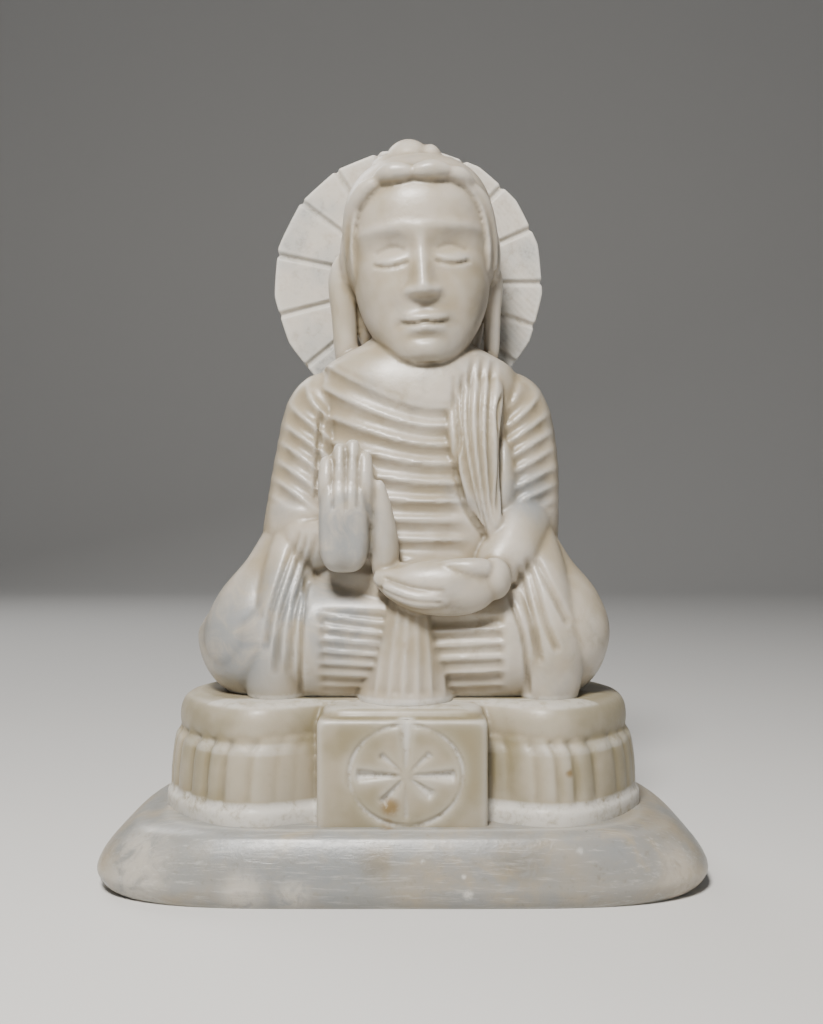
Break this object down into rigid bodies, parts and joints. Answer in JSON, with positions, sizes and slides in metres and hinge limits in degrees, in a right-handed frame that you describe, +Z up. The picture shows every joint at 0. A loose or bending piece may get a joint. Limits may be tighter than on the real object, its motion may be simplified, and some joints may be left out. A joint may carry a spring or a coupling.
{
  "type": "soapstone buddha figurine",
  "caption": "Small seated buddha carved from pale soapstone, on a fluted throne and oval plinth with a rayed halo behind the head; a shelf ornament.",
  "frame": {"origin": "centre of the plinth's flat underside, which the figurine stands on", "axes": "+Z up towards the halo's top; the figure faces -Y; +X is to the right of someone who faces it"},
  "size_m": [0.0794, 0.045, 0.1],
  "materials": {
    "soapstone": "satin polished, with chalky unpolished areas on the halo and ledge"
  },
  "bodies": {
    "root": {"buddha_figurine": "soapstone"}
  },
  "joints": []
}
